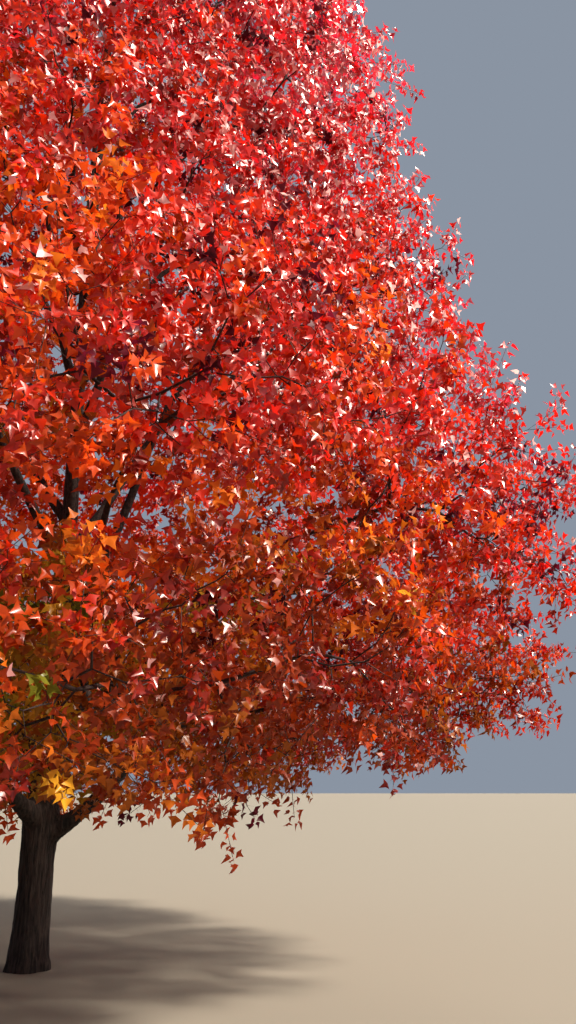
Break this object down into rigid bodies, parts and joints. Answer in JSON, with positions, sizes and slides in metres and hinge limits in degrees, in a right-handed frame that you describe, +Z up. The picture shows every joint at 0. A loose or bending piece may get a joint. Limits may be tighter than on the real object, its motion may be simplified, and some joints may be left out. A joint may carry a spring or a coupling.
{
  "type": "red maple tree",
  "caption": "Broad-crowned red maple in full autumn leaf, crimson at the top and orange below, on a short trunk that forks low down.",
  "frame": {"origin": "middle of the flat cut under the trunk, at ground level", "axes": "+Z up along the trunk; seen as in the picture, +X is to the right and +Y away from the viewer"},
  "size_m": [10.4612, 10.0844, 13.74],
  "materials": {
    "bark": "rough dark grey-brown bark with shallow furrows up the trunk, smoother on the boughs",
    "leaves_crimson": "thin crimson autumn leaves, satin above and matt below, that let some light through",
    "leaves_scarlet": "thin scarlet to red-orange autumn leaves, satin above and matt below",
    "leaves_orange": "thin orange to golden autumn leaves, satin above and matt below"
  },
  "bodies": {
    "root": {"trunk": "bark", "leader": "bark", "bough_skirt_1": "bark", "bough_skirt_2": "bark", "bough_skirt_3": "bark", "bough_skirt_4": "bark", "bough_skirt_5": "bark", "bough_skirt_6": "bark", "bough_lower_1": "bark", "bough_lower_2": "bark", "bough_lower_3": "bark", "bough_lower_4": "bark", "bough_lower_5": "bark", "bough_lower_6": "bark", "bough_lower_7": "bark", "bough_middle_1": "bark", "bough_middle_2": "bark", "bough_middle_3": "bark", "bough_middle_4": "bark", "bough_middle_5": "bark", "bough_middle_6": "bark", "bough_upper_1": "bark", "bough_upper_2": "bark", "bough_upper_3": "bark", "bough_upper_4": "bark", "bough_upper_5": "bark", "bough_shoulder_1": "bark", "bough_shoulder_2": "bark", "bough_shoulder_3": "bark", "bough_shoulder_4": "bark", "foliage_skirt_1": "leaves_orange", "foliage_skirt_2": "leaves_orange", "foliage_skirt_3": "leaves_orange", "foliage_skirt_4": "leaves_orange", "foliage_skirt_5": "leaves_orange", "foliage_skirt_6": "leaves_orange", "foliage_lower_1": "leaves_scarlet", "foliage_lower_2": "leaves_scarlet", "foliage_lower_3": "leaves_scarlet", "foliage_lower_4": "leaves_scarlet", "foliage_lower_5": "leaves_scarlet", "foliage_lower_6": "leaves_scarlet", "foliage_lower_7": "leaves_scarlet", "foliage_middle_1": "leaves_scarlet", "foliage_middle_2": "leaves_scarlet", "foliage_middle_3": "leaves_scarlet", "foliage_middle_4": "leaves_scarlet", "foliage_middle_5": "leaves_scarlet", "foliage_middle_6": "leaves_scarlet", "foliage_upper_1": "leaves_crimson", "foliage_upper_2": "leaves_crimson", "foliage_upper_3": "leaves_crimson", "foliage_upper_4": "leaves_crimson", "foliage_upper_5": "leaves_crimson", "foliage_shoulder_1": "leaves_crimson", "foliage_shoulder_2": "leaves_crimson", "foliage_shoulder_3": "leaves_crimson", "foliage_shoulder_4": "leaves_crimson", "foliage_top": "leaves_crimson"}
  },
  "joints": []
}
